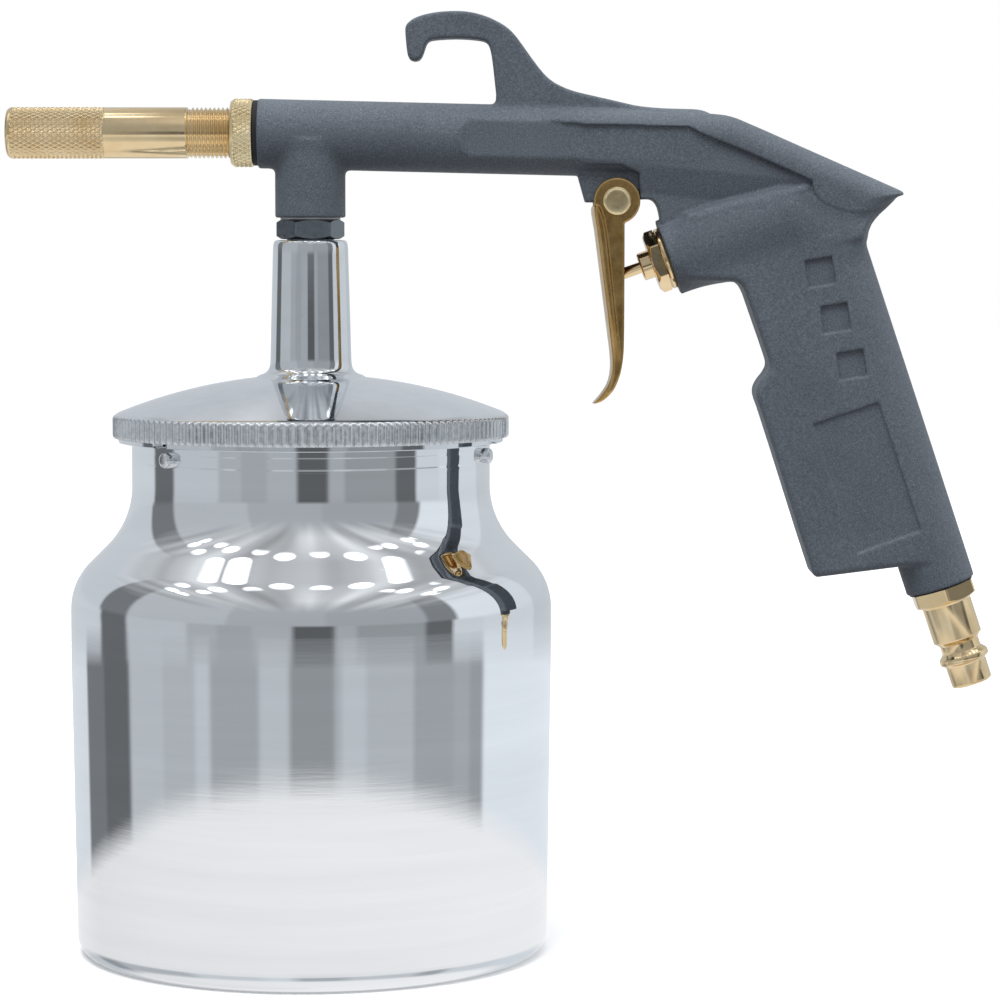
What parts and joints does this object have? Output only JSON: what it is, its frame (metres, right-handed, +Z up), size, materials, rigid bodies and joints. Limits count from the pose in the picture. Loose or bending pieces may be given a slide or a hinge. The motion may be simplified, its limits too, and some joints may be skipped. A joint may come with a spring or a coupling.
{
  "type": "airbrush gun",
  "caption": "Suction-feed abrasive spray gun: cast pistol body with hanging hook, brass blast nozzle and trigger, screw-in air plug, and a spun metal hopper cup with a lift-off lid.",
  "frame": {"origin": "centre of the underside of the cup, on the cup's axis", "axes": "+Z up along the cup's axis; the nozzle points to -X and the grip hangs at +X; the XZ plane is the mid-plane of the gun, and the side with the pivot pin's flat head faces -Y"},
  "size_m": [0.2307, 0.1126, 0.22],
  "materials": {
    "body_coat": "matte",
    "spun_aluminium": "polished",
    "lid_chrome": "polished",
    "brass_bright": "polished",
    "brass_trigger": "satin",
    "steel_part": "satin",
    "grey_fitting": "satin",
    "hard_liner": "matte",
    "seal_rubber": "matte",
    "white_ptfe": "matte"
  },
  "bodies": {
    "cup": {"cup": "spun_aluminium", "cup_studs": "spun_aluminium"},
    "lid_seal": {"lid_gasket": "seal_rubber"},
    "gun": {"lid": "lid_chrome", "siphon_tube": "steel_part", "tube_nut": "steel_part", "siphon_nipple": "grey_fitting", "boss_washer": "white_ptfe", "body_casting": "body_coat", "air_jet": "steel_part", "jet_seal": "seal_rubber", "pivot_pin": "brass_trigger", "pin_clip": "steel_part", "gland_washer": "brass_bright", "valve_gland": "brass_bright", "valve_packing": "white_ptfe", "valve_seat": "brass_bright", "valve_spring": "steel_part", "inlet_washer": "seal_rubber", "inlet_plug": "brass_bright"},
    "nozzle_feed": {"nozzle_insert": "hard_liner"},
    "nozzle": {"nozzle_tube": "brass_bright"},
    "ring_feed": {"ring_washer": "seal_rubber"},
    "ring": {"lock_ring": "brass_bright"},
    "trigger": {"trigger": "brass_trigger"},
    "valve": {"valve_stem": "brass_bright", "poppet_seal": "seal_rubber"}
  },
  "joints": [
    {"name": "lid_lift", "type": "slide", "parent": "cup", "child": "lid_seal", "axis": [0, 0, 1], "range_m": [0, 0.13]},
    {"name": "lid_turn", "type": "hinge", "parent": "lid_seal", "child": "gun", "pos_m": [0, 0, 0.1232], "axis": [0, 0, 1], "range_deg": [0, 60]},
    {"name": "nozzle_slide", "type": "slide", "parent": "gun", "child": "nozzle_feed", "axis": [-1, 0, 0], "range_m": [-0.003, 0.005]},
    {"name": "nozzle_turn", "type": "hinge", "parent": "nozzle_feed", "child": "nozzle", "pos_m": [-0.04, 0, 0.1919], "axis": [-1, 0, 0], "range_deg": [-1100, 1820]},
    {"name": "ring_slide", "type": "slide", "parent": "gun", "child": "ring_feed", "axis": [-1, 0, 0], "range_m": [0, 0.005]},
    {"name": "ring_turn", "type": "hinge", "parent": "ring_feed", "child": "ring", "pos_m": [-0.0157, 0, 0.1919], "axis": [-1, 0, 0], "range_deg": [-20, 1820]},
    {"name": "trigger_pull", "type": "hinge", "parent": "gun", "child": "trigger", "pos_m": [0.07145, 0, 0.17605], "axis": [0, -1, 0], "range_deg": [0, 10], "stiffness_Nm_per_rad": 0.25, "springref_deg": -11.46},
    {"name": "valve_slide", "type": "slide", "parent": "gun", "child": "valve", "axis": [0.9409, 0, 0.3387], "range_m": [0, 0.0031], "deforming": ["valve_spring"]}
  ],
  "couplings": [
    {"joint": "nozzle_turn", "follows": "nozzle_slide", "rad_per_m": 6283.2},
    {"joint": "ring_turn", "follows": "ring_slide", "rad_per_m": 6283.2},
    {"joint": "valve_slide", "follows": "trigger_pull", "m_per_rad": 0.01714}
  ]
}
